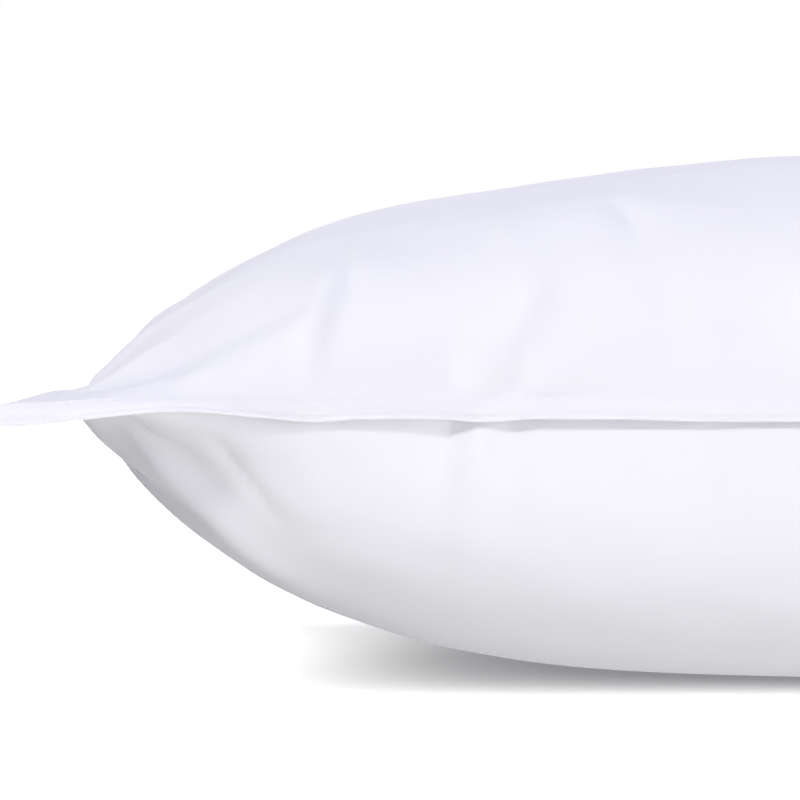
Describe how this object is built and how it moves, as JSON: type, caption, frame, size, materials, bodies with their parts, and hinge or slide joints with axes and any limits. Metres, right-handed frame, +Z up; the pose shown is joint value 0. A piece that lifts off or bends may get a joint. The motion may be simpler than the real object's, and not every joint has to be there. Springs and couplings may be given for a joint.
{
  "type": "bed pillow",
  "caption": "Rectangular stuffed bed pillow: ticking cover with flat corners and a double-stitched flange, filled with feather and down.",
  "frame": {"origin": "on the resting surface, under the middle of the pillow", "axes": "+X along the long sides, +Y across towards the side with the label, +Z up"},
  "size_m": [0.753, 0.4956, 0.1779],
  "materials": {
    "ticking": "tightly woven white cotton, matt with a faint sheen",
    "filling": "loose white feather and down",
    "thread": "white two-ply sewing thread",
    "label_tape": "blank white satin tape"
  },
  "bodies": {
    "root": {"upper_panel": "ticking", "lower_panel": "ticking", "feather_down_fill": "filling", "inner_row_needle_thread": "thread", "inner_row_bobbin_thread": "thread", "outer_row_needle_thread": "thread", "outer_row_bobbin_thread": "thread", "closing_row_thread": "thread", "care_label": "label_tape"}
  },
  "joints": []
}
